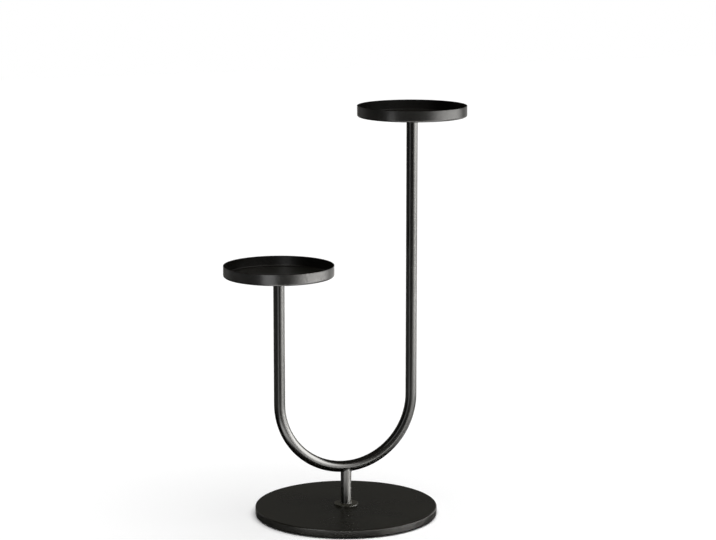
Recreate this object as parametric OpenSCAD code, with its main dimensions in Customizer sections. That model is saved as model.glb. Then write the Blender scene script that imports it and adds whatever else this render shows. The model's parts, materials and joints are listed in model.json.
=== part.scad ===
// Two-tier plant stand: a U-shaped tube on a round base, with a round tray on each leg.
// The legs stand in the XZ plane, the short one at -X and the long one at +X.
// The origin is on the floor, under the centre of the base. All lengths are millimetres.

/* [Base] */
// Diameter of the base
base_d = 360; // [300:5:420]
// Height of the pressed cover of the base
base_h = 16; // [14:0.5:24]
// Sheet thickness of the cover
cover_t = 1.5; // [1:0.1:2]
// Outer radius of the cover's top edge
base_edge_r = 2.5; // [2.5:0.5:6]
// Outer radius where the skirt of the cover turns in at its foot
lip_edge_r = 2.5; // [2.5:0.5:4]
// Width of the lip that is turned in under the bottom plate, from the outer edge
lip_w = 8; // [6:1:14]
// Thickness of the bottom plate
bottom_plate_t = 1; // [0.8:0.1:1.5]
// Diameter of the spanner hole in the bottom plate
access_d = 40; // [34:1:60]
// Diameter of the hole through the ballast slab
pocket_d = 50; // [44:1:70]
// Diameter of the stiffening disc under the centre of the cover
stiffener_d = 90; // [80:5:140]
// Thickness of the stiffening disc
stiffener_t = 3; // [2:0.5:4]
// Number of rubber feet
foot_count = 6; // [3:1:10]
// Diameter of a foot
foot_d = 22; // [14:1:30]
// Height that the feet lift the base off the floor
foot_stand = 2; // [1:0.5:4]

/* [Stem] */
// Outer diameter of the stem
stem_d = 21; // [17:0.5:21.5]
// Wall of the stem
stem_wall = 1.5; // [1.2:0.1:2.5]
// Bare length of the stem, from its flange to the underside of the bend
stem_h = 63.5; // [50:0.5:120]
// Length of the threaded plug in the foot of the stem
stem_plug_len = 22; // [18:1:30]

/* [Flanges] */
// Diameter of the flange under the stem and under each tray
flange_d = 48; // [40:1:80]
// Thickness of a flange
flange_h = 4; // [3.5:0.5:7]
// Depth to which a tube end is let into its flange
flange_seat = 2; // [1:0.5:2.5]
// Radius of the flange's exposed edge
flange_edge_r = 1; // [0.5:0.25:1.5]

/* [U tube] */
// Outer diameter of the bend and the legs
tube_d = 22; // [21.5:0.5:28]
// Wall of the bend and the legs
tube_wall = 1.2; // [1:0.1:2]
// Distance between the centre lines of the two legs
leg_gap = 275; // [240:1:330]
// Straight length at each end of the bend
bend_end = 30; // [27:1:60]

/* [Leg joints] */
// Diameter of the stud that joins a leg to the bend
joint_stud_d = 12; // [8:1:14]
// Length of the stud below the leg
joint_stud_len = 20; // [12:1:22]
// Length of the stud's body inside the leg
joint_body_len = 22; // [14:1:40]
// Length of the threaded bush inside each end of the bend
bush_len = 24; // [23:1:26]

/* [Trays] */
// Height of the lower tray's underside above the floor
lower_tray_z = 487; // [400:1:600]
// Height of the upper tray's underside above the floor
upper_tray_z = 786; // [650:1:900]
// Outer diameter of a tray
tray_d = 215; // [160:1:260]
// Height of a tray's rim, from its underside
rim_h = 22; // [12:0.5:40]
// Sheet thickness of a tray
tray_t = 1.5; // [1:0.1:2]
// Outer radius between the floor and the rim
tray_corner_r = 4; // [3:0.5:8]
// Length of the threaded plug in the top of each leg
leg_plug_len = 22; // [18:1:40]
// Distance from the end of a leg down to its plug
leg_plug_set = 2; // [1:0.5:3]

/* [Fasteners] */
// Diameter of the bolt that holds the stem to the base
base_bolt_d = 8; // [6:1:10]
// Length of that bolt under its head
base_bolt_len = 25; // [22:1:30]
// Width across flats of its head
base_bolt_af = 13; // [13:1:17]
// Height of its head
base_bolt_head_h = 5.3; // [4:0.1:6]
// Outer diameter of the flat washer
flat_washer_d = 24; // [20:1:30]
// Thickness of the flat washer
flat_washer_t = 2; // [1.5:0.1:2.5]
// Outer diameter of the split spring washer
spring_washer_d = 14.8; // [14:0.2:18]
// Thickness of the spring washer
spring_washer_t = 2; // [1.5:0.1:2.5]
// Width of the split in the spring washer
spring_washer_split = 1.2; // [0.6:0.2:2]
// Diameter of a tray's countersunk screw
tray_screw_d = 6; // [5:0.5:7]
// Length of that screw, head included
tray_screw_len = 20; // [14:1:24]
// Diameter of its head
tray_screw_head_d = 12; // [10:0.5:13]
// Width across flats of its socket
tray_screw_socket = 4; // [3:0.5:5]
// Depth of its socket
tray_screw_socket_depth = 2; // [1.5:0.1:2.4]

/* [Fits] */
// Gap left at a welded joint
weld_gap = 0.1; // [0.05:0.05:0.3]
// Gap between a plug and the tube round it
plug_gap = 0.1; // [0.05:0.05:0.2]
// Radial gap in a thread
thread_gap = 0.05; // [0.02:0.01:0.1]
// Radial gap of a bolt or screw in a plain hole
hole_gap = 0.5; // [0.3:0.1:1]
// Radial gap between the base bolt and its washers
washer_gap = 0.2; // [0.1:0.1:0.5]
// Gap between the ballast slab and the sheet round it
ballast_gap = 0.5; // [0.2:0.1:2]
// Gap between a foot and the lip beside it
foot_gap = 1; // [0.5:0.5:3]
// Gap between a countersunk head and the dimple under it
seat_gap = 0.05; // [0.02:0.01:0.1]
// Depth of the countersunk head below the tray's floor
head_sink = 0.4; // [0.2:0.1:0.8]
// Depth of the bush below the end of the bend
bush_set = 0.3; // [0.1:0.1:1]

/* [Hidden] */
$fn = 96;

coat = "#2b2927";
bare_steel = "#a9abad";
cement = "#8d8b86";
rubber = "#1a1a1a";

// Room for a cutting solid to run past the face that it cuts
past = 1;

// Heights in the base
base_r = base_d / 2;
base_top_z = foot_stand + base_h;
plate_z = foot_stand + cover_t;
ballast_z = plate_z + bottom_plate_t;
cover_inside_z = base_top_z - cover_t;
stiffener_z = cover_inside_z - stiffener_t;
flat_washer_z = stiffener_z - flat_washer_t;
spring_washer_z = flat_washer_z - spring_washer_t;
base_bolt_hole_r = base_bolt_d / 2 + hole_gap;
foot_ring_r = base_r - lip_w - foot_gap - foot_d / 2;

// Heights in the stem and the U
stem_foot_z = base_top_z + flange_h - flange_seat;
bend_r = leg_gap / 2;
bend_low_z = base_top_z + flange_h + stem_h + tube_d / 2;
bend_z = bend_low_z + bend_r;
joint_z = bend_z + bend_end;
leg_x = leg_gap / 2;
plug_r = tube_d / 2 - tube_wall - plug_gap;
leg_end_drop = flange_h - flange_seat;

// The dimple in a tray's floor: a 90 degree cone that the screw's head lies in
head_r = tray_screw_head_d / 2;
screw_hole_r = tray_screw_d / 2 + hole_gap;
dimple_r = head_r + head_sink;
dimple_tip_z = tray_t - (dimple_r - screw_hole_r);
cone_shift = tray_t * sqrt(2);
dimple_seat_r = dimple_r - tray_t + cone_shift;

// A tube or a flat ring that stands on z = 0
module ring(r_out, r_in, h) {
    difference() {
        cylinder(r = r_out, h = h);
        translate([0, 0, -past]) cylinder(r = r_in, h = h + 2 * past);
    }
}

// A quarter of a flat ring, bulging towards +X and +Y before it is turned
module quarter_ring(r_out, thickness, turn) {
    rotate(turn) intersection() {
        difference() {
            circle(r = r_out);
            circle(r = r_out - thickness);
        }
        square(r_out + past);
    }
}

// A six-sided bar that stands on z = 0
module hex_bar(across_flats, h) {
    cylinder(d = across_flats / cos(30), h = h, $fn = 6);
}

// The pressed sheet cover: a flat top, a skirt, and a lip turned in under the bottom plate
module base_cover_profile() {
    translate([base_bolt_hole_r, base_h - cover_t])
        square([base_r - base_edge_r - base_bolt_hole_r, cover_t]);
    translate([base_r - base_edge_r, base_h - base_edge_r]) quarter_ring(base_edge_r, cover_t, 0);
    translate([base_r - cover_t, lip_edge_r]) square([cover_t, base_h - base_edge_r - lip_edge_r]);
    translate([base_r - lip_edge_r, lip_edge_r]) quarter_ring(lip_edge_r, cover_t, -90);
    translate([base_r - lip_w, 0]) square([lip_w - lip_edge_r, cover_t]);
}

module base_cover() {
    color(coat) translate([0, 0, foot_stand]) rotate_extrude() base_cover_profile();
}

// Cement slab that weights the base, with a recess for the stiffening disc
module base_ballast() {
    slab_r = base_r - base_edge_r - ballast_gap;
    color(cement) difference() {
        translate([0, 0, ballast_z]) cylinder(r = slab_r, h = cover_inside_z - ballast_z);
        translate([0, 0, ballast_z - past])
            cylinder(d = pocket_d, h = cover_inside_z - ballast_z + 2 * past);
        translate([0, 0, stiffener_z])
            cylinder(r = stiffener_d / 2 + ballast_gap, h = stiffener_t + past);
    }
}

module base_stiffener() {
    color(bare_steel) translate([0, 0, stiffener_z])
        ring(stiffener_d / 2, base_bolt_hole_r, stiffener_t);
}

module base_bottom_plate() {
    color(bare_steel) translate([0, 0, plate_z])
        ring(base_r - lip_edge_r, access_d / 2, bottom_plate_t);
}

// Rubber feet, stuck to the bottom plate just inside the lip
module base_feet() {
    color(rubber) for (i = [0 : foot_count - 1])
        rotate(360 / foot_count * (i + 0.5)) translate([foot_ring_r, 0, 0])
            cylinder(d = foot_d, h = plate_z);
}

// Hexagon bolt, put in from below
module base_bolt() {
    point = base_bolt_d / 8;
    color(bare_steel) translate([0, 0, spring_washer_z]) {
        translate([0, 0, -base_bolt_head_h]) hex_bar(base_bolt_af, base_bolt_head_h);
        cylinder(d = base_bolt_d, h = base_bolt_len - point);
        translate([0, 0, base_bolt_len - point])
            cylinder(d1 = base_bolt_d, d2 = base_bolt_d - 2 * point, h = point);
    }
}

// Split ring, pressed flat by the bolt
module base_spring_washer() {
    color(bare_steel) translate([0, 0, spring_washer_z]) difference() {
        ring(spring_washer_d / 2, base_bolt_d / 2 + washer_gap, spring_washer_t);
        rotate([30, 0, 0]) translate([0, -spring_washer_split / 2, -spring_washer_t])
            cube([spring_washer_d, spring_washer_split, 4 * spring_washer_t]);
    }
}

module base_flat_washer() {
    color(bare_steel) translate([0, 0, flat_washer_z])
        ring(flat_washer_d / 2, base_bolt_d / 2 + washer_gap, flat_washer_t);
}

// Round flange that stands on z = 0 with its flat face down.
// A tube end is let into its top, whose edge is rounded.
module flange(tube_r, hole_r) {
    seat_r = tube_r + weld_gap;
    rotate_extrude() difference() {
        union() {
            square([flange_d / 2, flange_h - flange_edge_r]);
            square([flange_d / 2 - flange_edge_r, flange_h]);
            translate([flange_d / 2 - flange_edge_r, flange_h - flange_edge_r])
                circle(r = flange_edge_r);
        }
        translate([0, -past]) square([hole_r, flange_h + 2 * past]);
        translate([0, flange_h - flange_seat]) square([seat_r, flange_seat + past]);
    }
}

module stem_flange() {
    color(coat) translate([0, 0, base_top_z]) flange(stem_d / 2, base_bolt_hole_r);
}

module stem_plug() {
    color(bare_steel) translate([0, 0, stem_foot_z])
        ring(stem_d / 2 - stem_wall - plug_gap, base_bolt_d / 2 + thread_gap, stem_plug_len);
}

// The stem's top is coped to the round underside of the bend and welded there
module stem_tube() {
    color(coat) difference() {
        translate([0, 0, stem_foot_z])
            ring(stem_d / 2, stem_d / 2 - stem_wall, bend_low_z - stem_foot_z);
        bend_arc(tube_d / 2 + weld_gap, -120, 60);
    }
}

// Part of a solid round bar along the bend's centre line, from an angle that 0 has at +X
module bend_arc(bar_r, start, sweep) {
    translate([0, 0, bend_z]) rotate([90, 0, 0]) rotate(start)
        rotate_extrude(angle = sweep) translate([bend_r, 0]) circle(r = bar_r);
}

// Half a turn of tube, with a short straight end under each leg
module u_bend() {
    color(coat) union() {
        translate([0, 0, bend_z]) rotate([90, 0, 0]) rotate(180)
            rotate_extrude(angle = 180) translate([bend_r, 0]) difference() {
                circle(d = tube_d);
                circle(r = tube_d / 2 - tube_wall);
            }
        for (side = [-1, 1]) translate([side * leg_x, 0, bend_z])
            ring(tube_d / 2, tube_d / 2 - tube_wall, bend_end);
    }
}

// Threaded bush inside an end of the bend
module leg_bush(side) {
    color(bare_steel) translate([side * leg_x, 0, joint_z - bush_set - bush_len])
        ring(plug_r, joint_stud_d / 2 + thread_gap, bush_len);
}

// Turned plug in the foot of a leg, with the stud that screws into the bush
module leg_stud(side) {
    point = joint_stud_d / 8;
    color(bare_steel) translate([side * leg_x, 0, joint_z]) {
        cylinder(r = plug_r, h = joint_body_len);
        translate([0, 0, point - joint_stud_len])
            cylinder(d = joint_stud_d, h = joint_stud_len - point);
        translate([0, 0, -joint_stud_len])
            cylinder(d1 = joint_stud_d - 2 * point, d2 = joint_stud_d, h = point);
    }
}

// Straight tube between the bend and a tray's flange
module leg(side, tray_z) {
    color(coat) translate([side * leg_x, 0, joint_z])
        ring(tube_d / 2, tube_d / 2 - tube_wall, tray_z - leg_end_drop - joint_z);
}

// Threaded plug that holds a tray's screw
module leg_plug(side, tray_z) {
    color(bare_steel) translate([side * leg_x, 0, tray_z - leg_end_drop - leg_plug_set - leg_plug_len])
        ring(plug_r, tray_screw_d / 2 + thread_gap, leg_plug_len);
}

// Flange on top of a leg, countersunk for the dimple in the tray's floor
module tray_flange(side, tray_z) {
    cone_r = dimple_seat_r + weld_gap;
    color(coat) translate([side * leg_x, 0, tray_z]) difference() {
        mirror([0, 0, 1]) flange(tube_d / 2, screw_hole_r);
        translate([0, 0, -cone_r]) cylinder(r1 = 0, r2 = cone_r + past, h = cone_r + past);
    }
}

// Pressed pan: dimpled floor, round corner, upright rim with a rounded edge
module tray_profile() {
    tray_r = tray_d / 2;
    polygon([
        [screw_hole_r, dimple_tip_z],
        [screw_hole_r + cone_shift, dimple_tip_z],
        [dimple_seat_r, 0],
        [tray_r - tray_corner_r, 0],
        [tray_r - tray_corner_r, tray_t],
        [dimple_r, tray_t]
    ]);
    translate([tray_r - tray_corner_r, tray_corner_r]) quarter_ring(tray_corner_r, tray_t, -90);
    translate([tray_r - tray_t, tray_corner_r])
        square([tray_t, rim_h - tray_t / 2 - tray_corner_r]);
    translate([tray_r - tray_t / 2, rim_h - tray_t / 2]) intersection() {
        circle(d = tray_t);
        translate([-tray_t, 0]) square([2 * tray_t, tray_t]);
    }
}

module tray(side, tray_z) {
    color(coat) translate([side * leg_x, 0, tray_z]) rotate_extrude() tray_profile();
}

// Countersunk screw with a hexagon socket, its head just below the tray's floor
module tray_screw(side, tray_z) {
    head_top = tray_t - head_sink + seat_gap;
    head_h = head_r - tray_screw_d / 2;
    color(bare_steel) translate([side * leg_x, 0, tray_z + head_top]) difference() {
        union() {
            translate([0, 0, -head_h]) cylinder(d1 = tray_screw_d, r2 = head_r, h = head_h);
            translate([0, 0, -tray_screw_len])
                cylinder(d = tray_screw_d, h = tray_screw_len - head_h);
        }
        translate([0, 0, -tray_screw_socket_depth])
            hex_bar(tray_screw_socket, tray_screw_socket_depth + past);
    }
}

base_feet();
base_bottom_plate();
base_ballast();
base_stiffener();
base_cover();
base_bolt();
base_spring_washer();
base_flat_washer();
stem_flange();
stem_plug();
stem_tube();
u_bend();
leg_bush(-1);  // short_leg_bush
leg_bush(1);  // long_leg_bush
leg_stud(-1);  // short_leg_stud
leg_stud(1);  // long_leg_stud
leg(-1, lower_tray_z);  // short_leg
leg(1, upper_tray_z);  // long_leg
leg_plug(-1, lower_tray_z);  // short_leg_plug
leg_plug(1, upper_tray_z);  // long_leg_plug
tray_flange(-1, lower_tray_z);  // lower_tray_flange
tray_flange(1, upper_tray_z);  // upper_tray_flange
tray(-1, lower_tray_z);  // lower_tray
tray(1, upper_tray_z);  // upper_tray
tray_screw(-1, lower_tray_z);  // lower_tray_screw
tray_screw(1, upper_tray_z);  // upper_tray_screw
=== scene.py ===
import json
import math

import bmesh
import bpy
from mathutils import Matrix, Vector

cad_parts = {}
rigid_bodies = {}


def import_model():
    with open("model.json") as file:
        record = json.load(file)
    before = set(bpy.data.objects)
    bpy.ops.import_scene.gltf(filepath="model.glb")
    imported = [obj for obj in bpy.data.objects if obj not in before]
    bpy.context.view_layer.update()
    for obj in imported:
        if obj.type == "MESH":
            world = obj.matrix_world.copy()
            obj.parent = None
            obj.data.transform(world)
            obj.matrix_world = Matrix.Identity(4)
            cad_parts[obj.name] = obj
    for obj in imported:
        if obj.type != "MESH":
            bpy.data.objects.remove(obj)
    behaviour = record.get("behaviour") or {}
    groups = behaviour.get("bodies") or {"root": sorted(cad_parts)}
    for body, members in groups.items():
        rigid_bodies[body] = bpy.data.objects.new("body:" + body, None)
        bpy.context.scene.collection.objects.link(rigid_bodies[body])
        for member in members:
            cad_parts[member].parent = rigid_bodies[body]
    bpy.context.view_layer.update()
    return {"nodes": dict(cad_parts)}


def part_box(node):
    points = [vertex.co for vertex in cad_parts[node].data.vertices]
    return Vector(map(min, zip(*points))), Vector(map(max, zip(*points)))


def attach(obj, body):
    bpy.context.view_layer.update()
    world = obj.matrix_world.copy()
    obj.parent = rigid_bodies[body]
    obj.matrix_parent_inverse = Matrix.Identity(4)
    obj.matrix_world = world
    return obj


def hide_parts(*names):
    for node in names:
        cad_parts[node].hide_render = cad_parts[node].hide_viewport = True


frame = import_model()

# Base cover: a round of 1.5 mm steel sheet, pressed over at its edge and turned in under the foot plate.
# It is powder coated in satin black like all the steel that shows, and the stem is bolted to its centre.
mm = 0.001
cover_low, cover_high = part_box("base_cover")
base_r = cover_high.y
cover_foot_z, base_top_z = cover_low.z, cover_high.z
cover_t = 1.5 * mm
cover_edge_r = 2.5 * mm
lip_edge_r = 2.5 * mm
lip_w = 8 * mm
bolt_hole_r = 4.5 * mm
sheet_cut_r = 0.25 * mm
crease_angle = 38
same_place = 0.001 * mm
coat_dark = (0.0041, 0.0039, 0.0029, 1)
coat_pale = (0.0058, 0.0055, 0.0041, 1)
peel_depth = 0.004 * mm
wave_depth = 0.012 * mm


def arc(centre_r, centre_z, radius, start, end, steps):
    """Points of a round corner from one angle to another, in degrees. Angle 0 points away from the axis."""
    angles = [math.radians(start + (end - start) * i / steps) for i in range(steps + 1)]
    return [(centre_r + radius * math.cos(a), centre_z + radius * math.sin(a)) for a in angles]


def turned(outline, x=0.0, facets=96, closed=True):
    """Spins an outline of (radius, height) points round the upright axis at x.
    One that isn't closed starts and ends on the axis."""
    bm = bmesh.new()
    corners = [bm.verts.new((r, 0, z)) for r, z in outline]
    ends = corners[1:] + corners[:1] if closed else corners[1:]
    sides = [bm.edges.new(pair) for pair in zip(corners, ends)]
    bmesh.ops.spin(bm, geom=corners + sides, cent=(0, 0, 0), axis=(0, 0, 1), dvec=(0, 0, 0),
                   angle=2 * math.pi, steps=facets, use_merge=True, use_duplicate=False)
    bmesh.ops.remove_doubles(bm, verts=bm.verts, dist=same_place)
    bmesh.ops.recalc_face_normals(bm, faces=bm.faces)
    bmesh.ops.translate(bm, verts=bm.verts, vec=(x, 0, 0))
    return bm


def placed(name, data):
    thing = bpy.data.objects.new(name, data)
    bpy.context.scene.collection.objects.link(thing)
    return thing


def meshed(bm, name, material):
    """Turns a bmesh into an object with a material, and frees the bmesh."""
    mesh = bpy.data.meshes.new(name)
    bm.to_mesh(mesh)
    bm.free()
    mesh.materials.append(material)
    return placed(name, mesh)


def fitted(bm, name, material, nodes):
    """Makes a bmesh a finished piece of the stand, in the place of its CAD nodes."""
    piece = meshed(bm, name, material)
    piece.data.polygons.foreach_set("use_smooth", [True] * len(piece.data.polygons))
    piece.data.set_sharp_from_angle(angle=math.radians(crease_angle))
    even = piece.modifiers.new("even_shading", "WEIGHTED_NORMAL")
    even.keep_sharp = True
    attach(piece, "root")
    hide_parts(*nodes)


def new_material(name):
    material = bpy.data.materials.new(name)
    material.use_nodes = True
    return material, material.node_tree, material.node_tree.nodes["Principled BSDF"]


def node_at(tree, kind, x, y, **settings):
    """A shader node, with its settings and its unlinked inputs set by name."""
    node = tree.nodes.new(kind)
    node.location = (x, y)
    for name, value in settings.items():
        socket = node.inputs.get(name.replace("_", " "))
        if socket is not None:
            socket.default_value = value
        else:
            setattr(node, name, value)
    return node


def colour_ramp(tree, factor, stops, x, y):
    """Blends from one stop to the next. Each stop is a place from 0 to 1 and its colour."""
    ramp = node_at(tree, "ShaderNodeValToRGB", x, y)
    for element, (place, colour) in zip(ramp.color_ramp.elements, stops):
        element.position = place
        element.color = colour
    tree.links.new(factor, ramp.inputs["Fac"])
    return ramp.outputs["Color"]


def texture_group(name, inputs):
    """Starts a node group that takes numbers and gives a surface's colour, roughness and normal."""
    tree = bpy.data.node_groups.new(name, "ShaderNodeTree")
    for title in inputs:
        tree.interface.new_socket(title, in_out="INPUT", socket_type="NodeSocketFloat")
    for title, kind in (("Colour", "Color"), ("Roughness", "Float"), ("Normal", "Vector")):
        tree.interface.new_socket(title, in_out="OUTPUT", socket_type="NodeSocket" + kind)
    return tree, node_at(tree, "NodeGroupInput", -1000, 0), node_at(tree, "NodeGroupOutput", 500, 0)


def grouped_material(name, group, **inputs):
    """A material whose colour, roughness and normal come from a texture group."""
    material, tree, shader = new_material(name)
    texture = node_at(tree, "ShaderNodeGroup", -300, 0, node_tree=group, **inputs)
    for title, socket in (("Colour", "Base Color"), ("Roughness", "Roughness"), ("Normal", "Normal")):
        tree.links.new(texture.outputs[title], shader.inputs[socket])
    return material, shader


def coat_texture():
    """Sprayed and baked powder: orange peel, longer waves, and a sheen that drifts a little."""
    tree, given, put_out = texture_group("coat_texture", ("Seed", "Sheen low", "Sheen high", "Tint"))
    place = node_at(tree, "ShaderNodeTexCoord", -1000, 300)
    peel = node_at(tree, "ShaderNodeTexNoise", -700, 300, noise_dimensions="4D", Scale=850.0, Detail=1.5)
    wave = node_at(tree, "ShaderNodeTexNoise", -700, 0, noise_dimensions="4D", Scale=95.0, Detail=1.0)
    drift = node_at(tree, "ShaderNodeTexNoise", -700, -300, noise_dimensions="4D", Scale=14.0, Detail=4.0)
    for noise in (peel, wave, drift):
        tree.links.new(place.outputs["Object"], noise.inputs["Vector"])
        tree.links.new(given.outputs["Seed"], noise.inputs["W"])
    waves = node_at(tree, "ShaderNodeBump", -200, 100, Distance=wave_depth)
    tree.links.new(wave.outputs["Fac"], waves.inputs["Height"])
    peeled = node_at(tree, "ShaderNodeBump", 100, 200, Distance=peel_depth)
    tree.links.new(peel.outputs["Fac"], peeled.inputs["Height"])
    tree.links.new(waves.outputs["Normal"], peeled.inputs["Normal"])
    tree.links.new(peeled.outputs["Normal"], put_out.inputs["Normal"])
    sheen = node_at(tree, "ShaderNodeMapRange", 100, -100, From_Min=0.3, From_Max=0.7)
    tree.links.new(drift.outputs["Fac"], sheen.inputs["Value"])
    tree.links.new(given.outputs["Sheen low"], sheen.inputs["To Min"])
    tree.links.new(given.outputs["Sheen high"], sheen.inputs["To Max"])
    tree.links.new(sheen.outputs["Result"], put_out.inputs["Roughness"])
    black = colour_ramp(tree, drift.outputs["Fac"], ((0.35, coat_dark), (0.7, coat_pale)), 100, -400)
    paler = node_at(tree, "ShaderNodeVectorMath", 350, -400, operation="SCALE")
    tree.links.new(black, paler.inputs[0])
    tree.links.new(given.outputs["Tint"], paler.inputs["Scale"])
    tree.links.new(paler.outputs["Vector"], put_out.inputs["Colour"])
    return tree


powder = coat_texture()


def powder_coat(name, seed, sheen_low, sheen_high, tint=1.0, gloss=0.5):
    """Satin black powder coat; each piece hung in the oven by itself, so each has its own seed and sheen."""
    material, shader = grouped_material(name, powder, Seed=seed, Sheen_low=sheen_low,
                                        Sheen_high=sheen_high, Tint=tint)
    shader.inputs["IOR"].default_value = 1.5
    shader.inputs["Specular IOR Level"].default_value = gloss
    return material


def cover_outline():
    """The sheet's section: out over the top, down the side, round the lip, and back along the inside."""
    edge_centre_r, edge_centre_z = base_r - cover_edge_r, base_top_z - cover_edge_r
    lip_centre_r, lip_centre_z = base_r - lip_edge_r, cover_foot_z + lip_edge_r
    lip_cut_centre_r = base_r - lip_w + sheet_cut_r
    return ([(bolt_hole_r, base_top_z - cover_t), (bolt_hole_r, base_top_z)]
            + arc(edge_centre_r, edge_centre_z, cover_edge_r, 90, 0, 8)
            + arc(lip_centre_r, lip_centre_z, lip_edge_r, 0, -90, 8)
            + arc(lip_cut_centre_r, cover_foot_z + sheet_cut_r, sheet_cut_r, -90, -180, 3)
            + arc(lip_cut_centre_r, cover_foot_z + cover_t - sheet_cut_r, sheet_cut_r, 180, 90, 3)
            + arc(lip_centre_r, lip_centre_z, lip_edge_r - cover_t, -90, 0, 5)
            + arc(edge_centre_r, edge_centre_z, cover_edge_r - cover_t, 0, 90, 5))


base_coat = powder_coat("base_powder_coat", 1.0, 0.26, 0.31, tint=2.2)
fitted(turned(cover_outline(), facets=256), "base_cover_sheet", base_coat, ["base_cover"])

# Ballast: a round slab of cement cast to fit the cover, with a hole left for the bolt and its spanner.
# It lies loose in the cover, shut in by the foot plate, and only the rim of its hole is ever seen.
cement_dark = (0.27, 0.26, 0.235, 1)
cement_pale = (0.45, 0.44, 0.41, 1)
sand_grains = 700.0
air_holes = 160.0
hole_depth = 0.4 * mm
sand_depth = 0.1 * mm


def cast_cement():
    material, tree, shader = new_material("cast_cement")
    place = node_at(tree, "ShaderNodeTexCoord", -1200, 0)
    cloud = node_at(tree, "ShaderNodeTexNoise", -900, 300, Scale=22.0, Detail=6.0)
    sand = node_at(tree, "ShaderNodeTexNoise", -900, 0, Scale=sand_grains, Detail=2.0)
    holes = node_at(tree, "ShaderNodeTexVoronoi", -900, -300, Scale=air_holes)
    for texture in (cloud, sand, holes):
        tree.links.new(place.outputs["Object"], texture.inputs["Vector"])
    grey = colour_ramp(tree, cloud.outputs["Fac"], ((0.3, cement_dark), (0.7, cement_pale)), -500, 300)
    tree.links.new(grey, shader.inputs["Base Color"])
    pitted = node_at(tree, "ShaderNodeMapRange", -600, -300, From_Max=0.18)
    tree.links.new(holes.outputs["Distance"], pitted.inputs["Value"])
    pits = node_at(tree, "ShaderNodeBump", -300, -200, Distance=hole_depth)
    tree.links.new(pitted.outputs["Result"], pits.inputs["Height"])
    grains = node_at(tree, "ShaderNodeBump", -100, -100, Distance=sand_depth)
    tree.links.new(sand.outputs["Fac"], grains.inputs["Height"])
    tree.links.new(pits.outputs["Normal"], grains.inputs["Normal"])
    tree.links.new(grains.outputs["Normal"], shader.inputs["Normal"])
    shader.inputs["Roughness"].default_value = 0.9
    return material


frame["nodes"]["base_ballast"].material_slots[0].material = cast_cement()

# Stiffener and foot plate: two discs of zinc plated sheet. The small thick one lies under the cover's centre
# and spreads the bolt's pull. The wide thin one closes the base and is held by the turned lip of the cover.
stiffener_low, stiffener_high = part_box("base_stiffener")
plate_low, plate_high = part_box("base_bottom_plate")
spanner_hole_r = 20 * mm
stiffener_edge_r = 0.4 * mm
zinc_dark = (0.52, 0.53, 0.54, 1)
zinc_pale = (0.70, 0.69, 0.65, 1)


def zinc_film():
    """Thin bright zinc: a faint cloud in its colour and sheen, and a fine draw of the rolled sheet."""
    tree, given, put_out = texture_group("zinc_film", ("Cloud size", "Grain height"))
    place = node_at(tree, "ShaderNodeTexCoord", -1000, 300)
    cloud = node_at(tree, "ShaderNodeTexNoise", -600, 200, Detail=5.0)
    tree.links.new(place.outputs["Object"], cloud.inputs["Vector"])
    tree.links.new(given.outputs["Cloud size"], cloud.inputs["Scale"])
    drawn = node_at(tree, "ShaderNodeMapping", -800, -200, Scale=(12, 1, 12))
    tree.links.new(place.outputs["Object"], drawn.inputs["Vector"])
    grain = node_at(tree, "ShaderNodeTexNoise", -600, -200, Scale=260.0, Detail=3.0)
    tree.links.new(drawn.outputs["Vector"], grain.inputs["Vector"])
    grey = colour_ramp(tree, cloud.outputs["Fac"], ((0, zinc_dark), (1, zinc_pale)), -200, 300)
    tree.links.new(grey, put_out.inputs["Colour"])
    sheen = node_at(tree, "ShaderNodeMapRange", -200, 0, To_Min=0.24, To_Max=0.42)
    tree.links.new(cloud.outputs["Fac"], sheen.inputs["Value"])
    tree.links.new(sheen.outputs["Result"], put_out.inputs["Roughness"])
    relief = node_at(tree, "ShaderNodeBump", 100, -200)
    tree.links.new(grain.outputs["Fac"], relief.inputs["Height"])
    tree.links.new(given.outputs["Grain height"], relief.inputs["Distance"])
    tree.links.new(relief.outputs["Normal"], put_out.inputs["Normal"])
    return tree


zinc = zinc_film()


def plated_steel(name, cloud_size, grain_height):
    material, shader = grouped_material(name, zinc, Cloud_size=cloud_size, Grain_height=grain_height)
    shader.inputs["Metallic"].default_value = 1.0
    return material


def washer_outline(inner_r, outer_r, low, high, edge_r):
    """A flat ring with all four of its edges rounded."""
    return (arc(outer_r - edge_r, high - edge_r, edge_r, 90, 0, 3)
            + arc(outer_r - edge_r, low + edge_r, edge_r, 0, -90, 3)
            + arc(inner_r + edge_r, low + edge_r, edge_r, -90, -180, 3)
            + arc(inner_r + edge_r, high - edge_r, edge_r, 180, 90, 3))


sheet_zinc = plated_steel("zinc_plated_sheet", 35.0, 0.003 * mm)
stiffener = washer_outline(bolt_hole_r, stiffener_high.x, stiffener_low.z, stiffener_high.z,
                           stiffener_edge_r)
fitted(turned(stiffener), "stiffening_disc", sheet_zinc, ["base_stiffener"])
foot_plate = washer_outline(spanner_hole_r, plate_high.x, plate_low.z, plate_high.z, sheet_cut_r)
fitted(turned(foot_plate, facets=192), "foot_plate", sheet_zinc, ["base_bottom_plate"])

# Feet: six round pads of black rubber, glued to the foot plate just inside the lip.
# They lift the lip clear of the floor and keep the base from sliding.
feet_low, feet_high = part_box("base_feet")
foot_count = 6
foot_r = 11 * mm
foot_edge_r = 0.8 * mm
foot_ring_r = feet_high.y - foot_r
rubber_dark = (0.014, 0.014, 0.013, 1)
rubber_pale = (0.032, 0.031, 0.030, 1)
rubber_grain = 0.02 * mm


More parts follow.
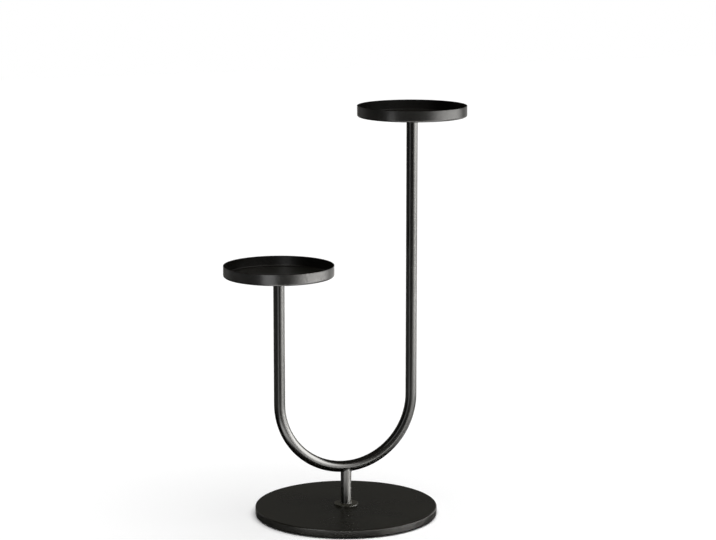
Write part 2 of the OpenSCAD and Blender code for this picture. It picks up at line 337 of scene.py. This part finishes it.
def moulded_rubber():
    material, tree, shader = new_material("moulded_rubber")
    place = node_at(tree, "ShaderNodeTexCoord", -900, 0)
    grain = node_at(tree, "ShaderNodeTexNoise", -600, 0, Scale=1400.0, Detail=3.0)
    tree.links.new(place.outputs["Object"], grain.inputs["Vector"])
    black = colour_ramp(tree, grain.outputs["Fac"], ((0, rubber_dark), (1, rubber_pale)), -300, 200)
    tree.links.new(black, shader.inputs["Base Color"])
    relief = node_at(tree, "ShaderNodeBump", -300, -200, Distance=rubber_grain)
    tree.links.new(grain.outputs["Fac"], relief.inputs["Height"])
    tree.links.new(relief.outputs["Normal"], shader.inputs["Normal"])
    shader.inputs["Roughness"].default_value = 0.72
    return material


def rubber_feet():
    outline = ([(0, feet_high.z), (foot_r, feet_high.z)]
               + arc(foot_r - foot_edge_r, feet_low.z + foot_edge_r, foot_edge_r, 0, -90, 5)
               + [(0, feet_low.z)])
    feet = bmesh.new()
    for i in range(foot_count):
        foot = turned(outline, x=foot_ring_r, facets=48, closed=False)
        around = Matrix.Rotation(2 * math.pi * (i + 0.5) / foot_count, 4, "Z")
        bmesh.ops.transform(foot, matrix=around, verts=foot.verts)
        moulded = bpy.data.meshes.new("one_foot")
        foot.to_mesh(moulded)
        foot.free()
        feet.from_mesh(moulded)
        bpy.data.meshes.remove(moulded)
    return feet


fitted(rubber_feet(), "rubber_feet", moulded_rubber(), ["base_feet"])

# Bend: one length of 22 mm tube with a 1.2 mm wall, bent through half a turn, with a short straight at each
# end. The stem is welded under it, and each leg is screwed to an end, where a hairline seam shows.
bend_low, bend_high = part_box("u_bend")
leg_low, leg_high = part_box("long_leg")
leg_x = (leg_low.x + leg_high.x) / 2
tube_r = (leg_high.x - leg_low.x) / 2
tube_wall = 1.2 * mm
bend_z = bend_low.z + tube_r + leg_x
joint_z = bend_high.z
seam_bevel = 0.2 * mm


def u_tube():
    """Starts as the flat ring of the short leg's end, and is drawn down, round the bend and up again."""
    bm = bmesh.new()
    rings = []
    for radius in (tube_r, tube_r - tube_wall):
        rings += bmesh.ops.create_circle(bm, radius=radius, segments=72)["verts"]
    bmesh.ops.translate(bm, verts=rings, vec=(-leg_x, 0, joint_z))
    start = bmesh.ops.bridge_loops(bm, edges=bm.edges[:])["faces"]

    def draw(faces, fall):
        grown = bmesh.ops.extrude_face_region(bm, geom=faces)["geom"]
        moved = [g for g in grown if isinstance(g, bmesh.types.BMVert)]
        bmesh.ops.translate(bm, verts=moved, vec=(0, 0, fall))
        return [g for g in grown if isinstance(g, bmesh.types.BMFace)]

    end = draw(start, bend_z - joint_z)
    spun = bmesh.ops.spin(bm, geom=end, cent=(0, 0, bend_z), axis=(0, -1, 0), dvec=(0, 0, 0),
                          angle=math.pi, steps=96, use_merge=False, use_duplicate=False)
    far = [g for g in spun["geom_last"] if isinstance(g, bmesh.types.BMFace)]
    draw(far, joint_z - bend_z)
    bmesh.ops.remove_doubles(bm, verts=bm.verts, dist=same_place)
    bmesh.ops.recalc_face_normals(bm, faces=bm.faces)
    mid_wall_r = tube_r - tube_wall / 2
    rims = [e for e in bm.edges if all(abs(v.co.z - joint_z) < seam_bevel / 10 for v in e.verts)
            and all(math.hypot(abs(v.co.x) - leg_x, v.co.y) > mid_wall_r for v in e.verts)]
    bmesh.ops.bevel(bm, geom=rims, offset=seam_bevel, segments=2, affect="EDGES", profile=0.5, material=-1)
    return bm


tube_coat = powder_coat("tube_powder_coat", 4.0, 0.2, 0.25)
fitted(u_tube(), "bent_tube", tube_coat, ["u_bend"])

# Stem: a short tube that is coped at the top to the round underside of the bend and welded there.
# Its foot is let into a turned flange and welded, and a threaded plug inside takes the bolt.
stem_low, stem_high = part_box("stem_tube")
flange_low, flange_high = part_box("stem_flange")
stem_r = stem_high.x
stem_wall = 1.5 * mm
weld_gap = 0.1 * mm
flange_edge_r = 1 * mm
flange_seat = 2 * mm
bead_r = 1.1 * mm
bead_sink = 0.3 * bead_r
bead_step = 1.6 * mm
bead_ripple = 0.09
bead_wander = 0.04
cope_bead_inset = 0.2 * mm


def underside_of_bend(x, y, clear):
    """Height of the bend's underside over a point, less a clearance all round the tube."""
    reach = math.sqrt(max((tube_r + clear) ** 2 - y * y, 0))
    return bend_z - math.sqrt((leg_x + reach) ** 2 - x * x)


def coped_stem():
    bm = turned([(stem_r - stem_wall, stem_low.z), (stem_r, stem_low.z), (stem_r, stem_high.z),
                 (stem_r - stem_wall, stem_high.z)], facets=120)
    for vert in bm.verts:
        if vert.co.z > stem_low.z + mm:
            vert.co.z = underside_of_bend(vert.co.x, vert.co.y, weld_gap)
    return bm


def weld_bead(seam_r, seam_height, x=0.0):
    """A run of weld round a tube, in the small steps that the puddle leaves.
    The seam's height follows its angle round the tube."""
    bm = turned(arc(seam_r, 0, bead_r, 0, 350, 17), facets=240)
    steps = round(2 * math.pi * seam_r / bead_step)
    for vert in bm.verts:
        angle = math.atan2(vert.co.y, vert.co.x)
        swell = 1 + bead_ripple * math.sin(steps * angle) + bead_wander * math.sin(3 * angle + 1)
        out = math.hypot(vert.co.x, vert.co.y) - seam_r
        new_r = seam_r + out * swell
        new_z = vert.co.z * swell + seam_height(angle)
        vert.co = (x + new_r * math.cos(angle), new_r * math.sin(angle), new_z)
    return bm


def cope_height(angle):
    return underside_of_bend(stem_r * math.cos(angle), stem_r * math.sin(angle), 0) - bead_sink


def flange_outline():
    """A turned flange, with a seat in its top for the stem and a smaller hole on through it for the bolt."""
    thick = flange_high.z - flange_low.z
    flange_r = flange_high.x
    seat_r = stem_r + weld_gap
    points = ([(bolt_hole_r, 0), (flange_r - sheet_cut_r, 0), (flange_r, sheet_cut_r)]
              + arc(flange_r - flange_edge_r, thick - flange_edge_r, flange_edge_r, 0, 90, 6)
              + [(seat_r, thick), (seat_r, thick - flange_seat), (bolt_hole_r, thick - flange_seat)])
    return [(r, flange_low.z + z) for r, z in points]


stem_coat = powder_coat("stem_powder_coat", 3.0, 0.29, 0.34, gloss=0.85)
fitted(coped_stem(), "coped_stem", stem_coat, ["stem_tube"])
# Painted light: the flanges' black is eight times paler than the tubes', for the light that their tops
# catch.
flange_coat_painted_light = powder_coat("flange_powder_coat", 5.0, 0.22, 0.26, tint=8)
stem_flange = turned(flange_outline(), facets=120)
fitted(stem_flange, "turned_stem_flange", flange_coat_painted_light, ["stem_flange"])
top_bead = weld_bead(stem_r - cope_bead_inset, cope_height)
fitted(top_bead, "stem_top_weld", tube_coat, ["stem_tube"])
foot_bead = weld_bead(stem_r, lambda angle: flange_high.z)
fitted(foot_bead, "stem_foot_weld", tube_coat, ["stem_tube"])
turned_zinc = plated_steel("zinc_plated_bar", 180.0, 0.0015 * mm)
frame["nodes"]["stem_plug"].material_slots[0].material = turned_zinc

# Base bolt: an M8 by 25 hexagon bolt with a wide flat washer and a split spring washer, zinc plated.
# It goes up through the cover from below and pulls the stem's flange down on the base.
bolt_low, bolt_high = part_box("base_bolt")
bolt_r = 4 * mm
bolt_flats = 13 * mm
bolt_head_h = 5.3 * mm
bolt_crown = 0.95
crown_steps = 8
bolt_pitch = 1.25 * mm
bolt_point = 1 * mm
washer_gap = 0.2 * mm
washer_split = 1.2 * mm
rows_per_turn = 8
thread_depth = 0.61
thread_flank = 1.6
thread_crest = 0.25
slack = 0.01 * mm


def mill_flats(bm, across_flats, low, high, x=0.0):
    """Brings whatever lies outside a hexagon in to its flats, between two heights."""
    for vert in bm.verts:
        if low <= vert.co.z <= high:
            side, out = vert.co.x - x, vert.co.y
            angle = math.atan2(out, side)
            flat_r = across_flats / 2 / math.cos(angle % math.radians(60) - math.radians(30))
            shrink = min(1, flat_r / max(math.hypot(side, out), slack))
            vert.co.x, vert.co.y = x + side * shrink, out * shrink


def cut_thread(bm, crest_r, pitch, low, high, x=0.0):
    """Cuts a right-hand thread into a plain shank, run out over one turn at each end."""
    depth = thread_depth * pitch
    for vert in bm.verts:
        side = vert.co.x - x
        if abs(math.hypot(side, vert.co.y) - crest_r) < 2 * same_place and low < vert.co.z < high:
            turn = math.atan2(vert.co.y, side) / (2 * math.pi)
            across = ((vert.co.z - low) / pitch - turn) % 1
            groove = min(1, max(0, thread_flank * (1 - abs(2 * across - 1)) - thread_crest))
            ends = min(1, (vert.co.z - low) / pitch, (high - vert.co.z) / pitch)
            shrink = 1 - depth * groove * ends / crest_r
            vert.co.x, vert.co.y = x + side * shrink, vert.co.y * shrink


def shank_rows(radius, pitch, low, high):
    """Points up a shank, close enough together to hold its thread."""
    count = round((high - low) / pitch * rows_per_turn)
    return [(radius, low + (high - low) * i / count) for i in range(count + 1)]


def hexagon_bolt():
    bearing_z = bolt_low.z + bolt_head_h
    corner_r = bolt_flats / 2 / math.cos(math.radians(30))
    crown_r = bolt_crown * bolt_flats / 2
    crown_h = (corner_r - crown_r) * math.tan(math.radians(30))
    crown = [(crown_r + (corner_r - crown_r) * i / crown_steps, bolt_low.z + crown_h * i / crown_steps)
             for i in range(crown_steps + 1)]
    thread_top = bolt_high.z - bolt_point
    outline = ([(0, bolt_low.z)] + crown + [(corner_r, bearing_z)]
               + shank_rows(bolt_r, bolt_pitch, bearing_z, thread_top)
               + [(bolt_r - bolt_point, bolt_high.z), (0, bolt_high.z)])
    bm = turned(outline, facets=72, closed=False)
    mill_flats(bm, bolt_flats, bolt_low.z - mm, bearing_z + slack)
    cut_thread(bm, bolt_r, bolt_pitch, bearing_z + 2 * bolt_pitch, thread_top)
    return bm


def split_washer():
    """Spun short of a full turn, which leaves the split, and closed at both ends."""
    low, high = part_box("base_spring_washer")
    outer_r = -low.x
    half_split = math.asin(washer_split / 2 / outer_r)
    outline = washer_outline(bolt_r + washer_gap, outer_r, low.z, high.z, sheet_cut_r)
    bm = bmesh.new()
    corners = [bm.verts.new((r, 0, z)) for r, z in outline]
    end = bm.faces.new(corners)
    bmesh.ops.rotate(bm, verts=corners, cent=(0, 0, 0), matrix=Matrix.Rotation(half_split, 3, "Z"))
    bmesh.ops.spin(bm, geom=[end], cent=(0, 0, 0), axis=(0, 0, 1), dvec=(0, 0, 0),
                   angle=2 * (math.pi - half_split), steps=64, use_merge=False, use_duplicate=False)
    bmesh.ops.recalc_face_normals(bm, faces=bm.faces)
    return bm


fitted(hexagon_bolt(), "hexagon_bolt", turned_zinc, ["base_bolt"])
fitted(split_washer(), "split_washer", turned_zinc, ["base_spring_washer"])
washer_low, washer_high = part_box("base_flat_washer")
flat_washer = washer_outline(bolt_r + washer_gap, washer_high.x, washer_low.z, washer_high.z,
                             stiffener_edge_r)
fitted(turned(flat_washer), "wide_flat_washer", turned_zinc, ["base_flat_washer"])

# Leg joints: a threaded bush welded inside each end of the bend, and a turned plug with an M12 stud
# welded in the foot of each leg. The leg is screwed on by hand until the two tubes meet.
stud_r = 6 * mm
stud_pitch = 1.75 * mm
stud_point = 1.5 * mm


def leg_stud(name, x):
    low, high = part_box(name)
    plug_r = high.x - x
    outline = ([(0, low.z), (stud_r - stud_point, low.z)]
               + shank_rows(stud_r, stud_pitch, low.z + stud_point, joint_z)
               + arc(plug_r - sheet_cut_r, joint_z + sheet_cut_r, sheet_cut_r, -90, 0, 3)
               + arc(plug_r - sheet_cut_r, high.z - sheet_cut_r, sheet_cut_r, 0, 90, 3)
               + [(0, high.z)])
    bm = turned(outline, x=x, facets=72, closed=False)
    cut_thread(bm, stud_r, stud_pitch, low.z + stud_point, joint_z - stud_pitch, x)
    return bm


for side, node in ((-1, "short_leg_stud"), (1, "long_leg_stud")):
    fitted(leg_stud(node, side * leg_x), node + "_threaded", turned_zinc, [node])
for node in ("short_leg_bush", "long_leg_bush", "short_leg_plug", "long_leg_plug"):
    frame["nodes"][node].material_slots[0].material = turned_zinc

# Legs: two straight lengths of the same 22 mm tube, one short and one long, with a hairline bevel at the
# foot. The top of each is let into the flange under its tray and welded.


def straight_leg(node, x):
    low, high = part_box(node)
    bore_r = tube_r - tube_wall
    outline = (arc(tube_r - seam_bevel, low.z + seam_bevel, seam_bevel, -90, 0, 3)
               + [(tube_r, high.z), (bore_r, high.z), (bore_r, low.z)])
    return turned(outline, x=x, facets=72)


for side, node in ((-1, "short_leg"), (1, "long_leg")):
    fitted(straight_leg(node, side * leg_x), node + "_tube", tube_coat, [node])

# Tray flanges: the same turned flange as under the stem, upside down on each leg, with its hole countersunk
# so that the dimple of the tray nests in it. A run of weld below joins it to the leg.
screw_hole_r = 3.5 * mm
screw_head_r = 6 * mm
head_sink = 0.4 * mm
tray_t = 1.5 * mm
dimple_r = screw_head_r + head_sink
cone_shift = tray_t * math.sqrt(2)
dimple_seat_r = dimple_r - tray_t + cone_shift


def tray_flange(node, x):
    low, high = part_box(node)
    thick = high.z - low.z
    flange_r = high.x - x
    cone_r = dimple_seat_r + weld_gap
    seat_r = tube_r + weld_gap
    outline = ([(cone_r, high.z), (flange_r - sheet_cut_r, high.z), (flange_r, high.z - sheet_cut_r)]
               + arc(flange_r - flange_edge_r, low.z + flange_edge_r, flange_edge_r, 0, -90, 6)
               + [(seat_r, low.z), (seat_r, low.z + flange_seat),
                  (cone_r - thick + flange_seat, low.z + flange_seat)])
    return turned(outline, x=x, facets=120)


for side, node in ((-1, "lower_tray_flange"), (1, "upper_tray_flange")):
    fitted(tray_flange(node, side * leg_x), node + "_turned", flange_coat_painted_light, [node])
    seam_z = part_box(node)[0].z
    bead = weld_bead(tube_r, lambda angle: seam_z, side * leg_x)
    fitted(bead, node + "_weld", tube_coat, [node])

# Trays: round pans pressed from 1.5 mm sheet, with an upright rim whose edge is rounded over.
# The middle of the floor is dimpled for the screw's head, so that a pot stands flat on it.
rim_h = 22 * mm
tray_corner_r = 4 * mm
seat_slack = 0.001 * mm
dimple_blend = 1.2 * mm
tray_coat = powder_coat("tray_powder_coat", 7.0, 0.27, 0.33, gloss=0.7)


def pressed_tray(node, x):
    low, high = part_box(node)
    tray_r = (high.x - low.x) / 2 - seat_slack
    under_z = high.z - rim_h
    floor_z = under_z + tray_t
    tip_z = floor_z - (dimple_r - screw_hole_r)
    half = tray_t / 2
    corner_r, corner_z = tray_r - tray_corner_r, under_z + tray_corner_r
    dimple = [(screw_hole_r, tip_z), (dimple_r - dimple_blend / 2, floor_z - dimple_blend / 2),
              (dimple_r - dimple_blend / 8, floor_z - dimple_blend / 5),
              (dimple_r + dimple_blend / 5, floor_z - dimple_blend / 20),
              (dimple_r + dimple_blend, floor_z)]
    outline = (dimple
               + arc(corner_r, corner_z, tray_corner_r - tray_t, -90, 0, 8)
               + arc(tray_r - half, high.z - half, half, 180, 0, 8)
               + arc(corner_r, corner_z, tray_corner_r, 0, -90, 8)
               + [(dimple_seat_r, under_z), (screw_hole_r + cone_shift, tip_z)])
    return turned(outline, x=x, facets=240)


for side, node in ((-1, "lower_tray"), (1, "upper_tray")):
    fitted(pressed_tray(node, side * leg_x), node + "_pan", tray_coat, [node])

# Tray screws: M6 by 20 countersunk socket screws, black like the trays, one down through each dimple
# into the plug in the top of its leg. The head ends just below the floor.
screw_r = 3 * mm
screw_pitch = 1 * mm
socket_flats = 4 * mm
socket_depth = 2 * mm
drill_point = 0.6 * mm


def countersunk_screw(node, x):
    low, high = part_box(node)
    corner_r = socket_flats / 2 / math.cos(math.radians(30))
    socket_z = high.z - socket_depth
    neck_z = high.z - (screw_head_r - screw_r)
    outline = ([(0, socket_z - drill_point), (corner_r, socket_z), (corner_r, high.z - sheet_cut_r),
                (corner_r + sheet_cut_r, high.z)]
               + arc(screw_head_r - sheet_cut_r, high.z - sheet_cut_r, sheet_cut_r, 90, -45, 4)
               + list(reversed(shank_rows(screw_r, screw_pitch, low.z + sheet_cut_r, neck_z)))
               + [(screw_r - sheet_cut_r, low.z), (0, low.z)])
    bm = turned(outline, x=x, facets=72, closed=False)
    mill_flats(bm, socket_flats, socket_z - slack, high.z - sheet_cut_r + slack, x)
    cut_thread(bm, screw_r, screw_pitch, low.z + sheet_cut_r, neck_z - 2 * screw_pitch, x)
    return bm


black_screw = powder_coat("blackened_screw", 9.0, 0.3, 0.38, gloss=0.7)
for side, node in ((-1, "lower_tray_screw"), (1, "upper_tray_screw")):
    fitted(countersunk_screw(node, side * leg_x), node + "_socket", black_screw, [node])

# Floor: a plain white floor, which carries the stand's shadow and runs out of sight into a white background.
# Only what the camera, a reflection or glass sees of them is lifted to white. They light nothing themselves.
floor_half = 9.0
floor_white = (0.85, 0.85, 0.85, 1)
floor_lift = 0.03
white = (1, 1, 1, 1)


def maths(tree, operation, values, x, y):
    """The result of a Math node. Each of its values is a socket or a number."""
    step = node_at(tree, "ShaderNodeMath", x, y, operation=operation)
    for value, socket in zip(values, step.inputs):
        if isinstance(value, bpy.types.NodeSocket):
            tree.links.new(value, socket)
        else:
            socket.default_value = value
    return step.outputs[0]


def seen_directly(tree, x, y):
    """1 on rays from the camera, from a glossy surface or through glass, and 0 on all others."""
    path = node_at(tree, "ShaderNodeLightPath", x, y).outputs
    camera_or_gloss = maths(tree, "MAXIMUM", (path["Is Camera Ray"], path["Is Glossy Ray"]), x + 200, y)
    return maths(tree, "MAXIMUM", (camera_or_gloss, path["Is Transmission Ray"]), x + 400, y)


def white_floor():
    material, tree, shader = new_material("white_floor")
    shader.inputs["Roughness"].default_value = 0.95
    shader.inputs["Specular IOR Level"].default_value = 0.0
    shader.inputs["Emission Color"].default_value = white
    seen = seen_directly(tree, -1000, -300)
    shade = colour_ramp(tree, seen, ((0, floor_white), (1, white)), -400, 0)
    tree.links.new(shade, shader.inputs["Base Color"])
    lift = maths(tree, "MULTIPLY", (seen, floor_lift), -200, -300)
    tree.links.new(lift, shader.inputs["Emission Strength"])
    material.cycles.emission_sampling = "NONE"
    return material


def staged(bm, name, material):
    thing = meshed(bm, name, material)
    return thing


def flat_sheet(half):
    sheet = bmesh.new()
    bmesh.ops.create_grid(sheet, x_segments=1, y_segments=1, size=half)
    return sheet


floor = staged(flat_sheet(floor_half), "floor", white_floor())
world = bpy.data.worlds.new("white_background")
world.use_nodes = True
bpy.context.scene.world = world
background = world.node_tree.nodes["Background"]
background.inputs["Color"].default_value = white
world.node_tree.links.new(seen_directly(world.node_tree, -600, 0), background.inputs["Strength"])

# Surround: painted reflections. Three spheres glow inside with painted patches of light, and a sheet with
# painted pools of lit floor. The coat mirrors them as the soft lights of a dark studio, the floor that they
# light and the dark between. Only reflections see this section: colours and shadow come from the next.
view_heading = 0.3522
to_camera = Vector((-math.sin(view_heading), -math.cos(view_heading), 0))
to_right = Vector((math.cos(view_heading), -math.sin(view_heading), 0))
surround_r = 12.0
surround_z = 0.3
surround_gap = 0.1
lit_floor_half = 3.0
painted_light_colour = (1, 0.985, 0.955, 1)
# Bearings are degrees round from the camera's side to its right, seen from the middle of the stand. With a
# bearing goes an elevation in degrees, or on the floor a distance in metres. Each of the two is given as its
# middle, its half size to the middle of the soft edge, and half the width of that edge. Level 1 is white.
# Painted highlights: the two key spheres glow with these patches, and only reflections see them.
painted_key_lights = (
    {"name": "key", "bearing": (82, 33, 20), "reach": (19.5, 21, 5), "level": 18.5},
    {"name": "left of the key", "bearing": (46, 10, 10), "reach": (15, 15, 8), "level": 1.2},
)
# Painted reflections of soft lights and of the dark between them, on the inside of the surround sphere.
painted_soft_lights = (
    {"name": "low key", "bearing": (82, 33, 20), "reach": (-7, 4, 4), "level": 8.8},
    {"name": "foot of the key", "bearing": (76, 20, 14), "reach": (-12.5, 3, 4), "level": 3.3},
    {"name": "high right", "bearing": (68, 40, 20), "reach": (26, 26, 12), "level": 0.55},
    {"name": "right behind", "bearing": (148, 14, 12), "reach": (5, 15, 12), "level": 0.63},
    {"name": "behind", "bearing": (180, 14, 10), "reach": (-10, 8, 4), "level": 3.0},
    {"name": "left behind", "bearing": (-130, 20, 12), "reach": (10, 20, 12), "level": 0.2},
    {"name": "low left", "bearing": (-118, 30, 12), "reach": (-10, 2, 2), "level": 0.3},
    {"name": "front", "bearing": (-5, 35, 15), "reach": (25, 25, 12), "level": 0.25},
    {"name": "low front", "bearing": (-35, 65, 15), "reach": (-13, 5, 5), "level": 0.4},
    {"name": "back", "bearing": (180, 60, 20), "reach": (25, 30, 10), "level": 0.066},
    {"name": "ceiling", "bearing": (0, 180, 1), "reach": (80, 18, 12), "level": 0.1},
)
# Painted light on the floor sheet that only reflections see. The pools start a little way out from the base,
# so the floor right next to it shows a painted shadow of the base.
painted_floor_pools = (
    {"name": "front", "bearing": (0, 45, 12), "reach": (0.39, 0.11, 0.05), "level": 6.9},
    {"name": "right", "bearing": (92, 32, 12), "reach": (0.48, 0.22, 0.06), "level": 1.9},
    {"name": "front right", "bearing": (40, 12, 10), "reach": (0.62, 0.16, 0.08), "level": 4.0},
    {"name": "middle right", "bearing": (60, 30, 12), "reach": (0.85, 0.25, 0.10), "level": 3.2},
    {"name": "far right", "bearing": (60, 30, 12), "reach": (1.80, 0.65, 0.25), "level": 3.9},
    {"name": "behind right", "bearing": (125, 28, 12), "reach": (2.00, 1.00, 0.40), "level": 1.3},
)


def soft_window(tree, value, span, x, y):
    """1 inside a span and 0 outside it, with a smooth edge. A span of bearings may go on past 180."""
    middle, half, soft = span
    off = maths(tree, "SUBTRACT", (value, middle), x, y)
    nearest = maths(tree, "WRAP", (off, 180, -180), x + 200, y)
    edge = node_at(tree, "ShaderNodeMapRange", x + 600, y, interpolation_type="SMOOTHSTEP",
                   From_Min=half + soft, From_Max=half - soft)
    tree.links.new(maths(tree, "ABSOLUTE", (nearest,), x + 400, y), edge.inputs["Value"])
    return edge.outputs["Result"]


def light_level(tree, bearing, reach, patches):
    """Adds up patches of light, each with smooth edges on all four sides.
    The node that adds a patch is labelled with its name."""
    level = 0.0
    for i, patch in enumerate(patches):
        row = -400 * i
        across = soft_window(tree, bearing, patch["bearing"], -400, row)
        along = soft_window(tree, reach, patch["reach"], -400, row - 200)
        shape = maths(tree, "MULTIPLY", (across, along), 400, row)
        level = maths(tree, "MULTIPLY_ADD", (shape, patch["level"], level), 600, row)
        level.node.label = patch["name"]
    return level


def vector_maths(tree, operation, vectors, x, y):
    """The result of a Vector Math node. Its first vector is a socket, and its second a constant."""
    step = node_at(tree, "ShaderNodeVectorMath", x, y, operation=operation)
    tree.links.new(vectors[0], step.inputs[0])
    if len(vectors) > 1:
        step.inputs[1].default_value = vectors[1]
    return step.outputs["Value" if operation in ("DOT_PRODUCT", "LENGTH") else "Vector"]


def direction(tree, above, on_floor):
    """The bearing of a place on the mesh, and its elevation or, on the floor, its distance."""
    place = node_at(tree, "ShaderNodeTexCoord", -1600, 0).outputs["Object"]
    outward = vector_maths(tree, "SUBTRACT", (place, (0, 0, above)), -1400, 0)
    near = vector_maths(tree, "DOT_PRODUCT", (outward, to_camera), -1200, 200)
    right = vector_maths(tree, "DOT_PRODUCT", (outward, to_right), -1200, 0)
    turn = maths(tree, "ARCTAN2", (right, near), -1000, 100)
    bearing = maths(tree, "DEGREES", (turn,), -800, 100)
    if on_floor:
        return bearing, vector_maths(tree, "LENGTH", (outward,), -1200, -200)
    heading = vector_maths(tree, "NORMALIZE", (outward,), -1200, -200)
    height = vector_maths(tree, "DOT_PRODUCT", (heading, (0, 0, 1)), -1000, -200)
    rise = maths(tree, "ARCSINE", (height,), -800, -200)
    return bearing, maths(tree, "DEGREES", (rise,), -600, -200)


def glow_material(name, patches, above=0.0, on_floor=False, see_through=True, bounce=None):
    """Glows where its patches are, as seen from a point above the mesh's origin.
    With a bounce, only that reflection on a ray's way from the camera shows it."""
    material, tree, shader = new_material(name)
    tree.nodes.remove(shader)
    material.cycles.emission_sampling = "NONE"
    level = light_level(tree, *direction(tree, above, on_floor), patches)
    if bounce is not None:
        depth = node_at(tree, "ShaderNodeLightPath", 600, 300).outputs["Ray Depth"]
        shown = maths(tree, "COMPARE", (depth, bounce, 0.5), 800, 300)
        level = maths(tree, "MULTIPLY", (level, shown), 1000, 300)
    glow = node_at(tree, "ShaderNodeEmission", 1200, 0, Color=painted_light_colour)
    tree.links.new(level, glow.inputs["Strength"])
    surface = glow.outputs["Emission"]
    if see_through:
        clear = node_at(tree, "ShaderNodeBsdfTransparent", 1200, -200)
        both = node_at(tree, "ShaderNodeAddShader", 1400, 0)
        tree.links.new(surface, both.inputs[0])
        tree.links.new(clear.outputs["BSDF"], both.inputs[1])
        surface = both.outputs["Shader"]
    tree.links.new(surface, tree.nodes["Material Output"].inputs["Surface"])
    return material


def painted_reflection_sphere(radius, name, patches, **settings):
    """A sphere of cloth round the whole studio, which glows on its inside with painted light."""
    cloth = bmesh.new()
    bmesh.ops.create_uvsphere(cloth, u_segments=64, v_segments=32, radius=radius)
    bmesh.ops.translate(cloth, verts=cloth.verts, vec=(0, 0, surround_z))
    return staged(cloth, name, glow_material(name + "_glow", patches, above=surround_z, **settings))


tube_key = painted_reflection_sphere(surround_r - 2 * surround_gap, "tube_key", painted_key_lights, bounce=1)
base_key = painted_reflection_sphere(surround_r - surround_gap, "base_key", painted_key_lights, bounce=2)
surround = painted_reflection_sphere(surround_r, "studio_surround", painted_soft_lights, see_through=False)
painted_floor_reflection = staged(flat_sheet(lit_floor_half), "painted_floor_reflection",
                   glow_material("lit_floor_glow", painted_floor_pools, on_floor=True))
for thing in (tube_key, base_key, surround, painted_floor_reflection):
    for ray in ("camera", "diffuse", "transmission", "volume_scatter", "shadow"):
        setattr(thing, "visible_" + ray, False)
floor.visible_glossy = False
floor.visible_shadow = False
# The key is as bright as the shine on the tubes needs, and the flat tops would mirror it whole from behind.
# So only the tubes and their welds see it, and the base shows it only in the edge of the flange on it.
for key, coats in ((tube_key, (tube_coat, stem_coat)), (base_key, (base_coat,))):
    seen_by = bpy.data.collections.new(key.name + "_seen_by")
    for piece in bpy.context.scene.objects:
        if any(slot.material in coats for slot in piece.material_slots):
            seen_by.objects.link(piece)
    key.light_linking.receiver_collection = seen_by

# Light: an even soft light from above for the colours and the shadow, and one narrow soft box close by
# at the camera's left, which draws the thin second line down each leg.
sky_strength = 3.3
sky_angle = 75
sky_lean_x, sky_lean_y = 8, 6
strip_right, strip_near = -0.2, 0.34
strip_w, strip_h = 0.12, 0.76
strip_level = 2.0
sky = bpy.data.lights.new("overhead_sky", "SUN")
sky.energy = sky_strength
sky.angle = math.radians(sky_angle)
sky_lamp = placed("overhead_sky", sky)
sky_lamp.rotation_euler = (math.radians(sky_lean_x), math.radians(sky_lean_y), 0)
sky_lamp.visible_glossy = False
strip = bpy.data.lights.new("left_strip", "AREA")
strip.shape = "RECTANGLE"
strip.size, strip.size_y = strip_w, strip_h
strip.energy = strip_level * math.pi * strip_w * strip_h
strip_away = to_right * strip_right + to_camera * strip_near
strip_lamp = placed("left_strip", strip)
strip_lamp.location = strip_away + Vector((0, 0, strip_h / 2))
strip_lamp.rotation_euler = strip_away.to_track_quat("Z", "Y").to_euler()
strip_lamp.visible_camera = False
strip_lamp.visible_diffuse = False
strip_lamp.visible_transmission = False

# Camera: a long lens from the front left, a little above the trays, pitched down and without shift.
# It looks along the heading that the surround is laid out from.
camera_place = (-1.5168, -4.1960, 1.2944)
camera_pitch = 0.1782
camera = bpy.data.cameras.new("camera")
camera.lens = 116.93
camera.sensor_fit = "HORIZONTAL"
camera.sensor_width = 36
camera_object = placed("camera", camera)
camera_object.location = camera_place
camera_object.rotation_euler = (math.pi / 2 - camera_pitch, 0, -view_heading)
bpy.context.scene.camera = camera_object
bpy.context.scene.view_settings.view_transform = "Standard"
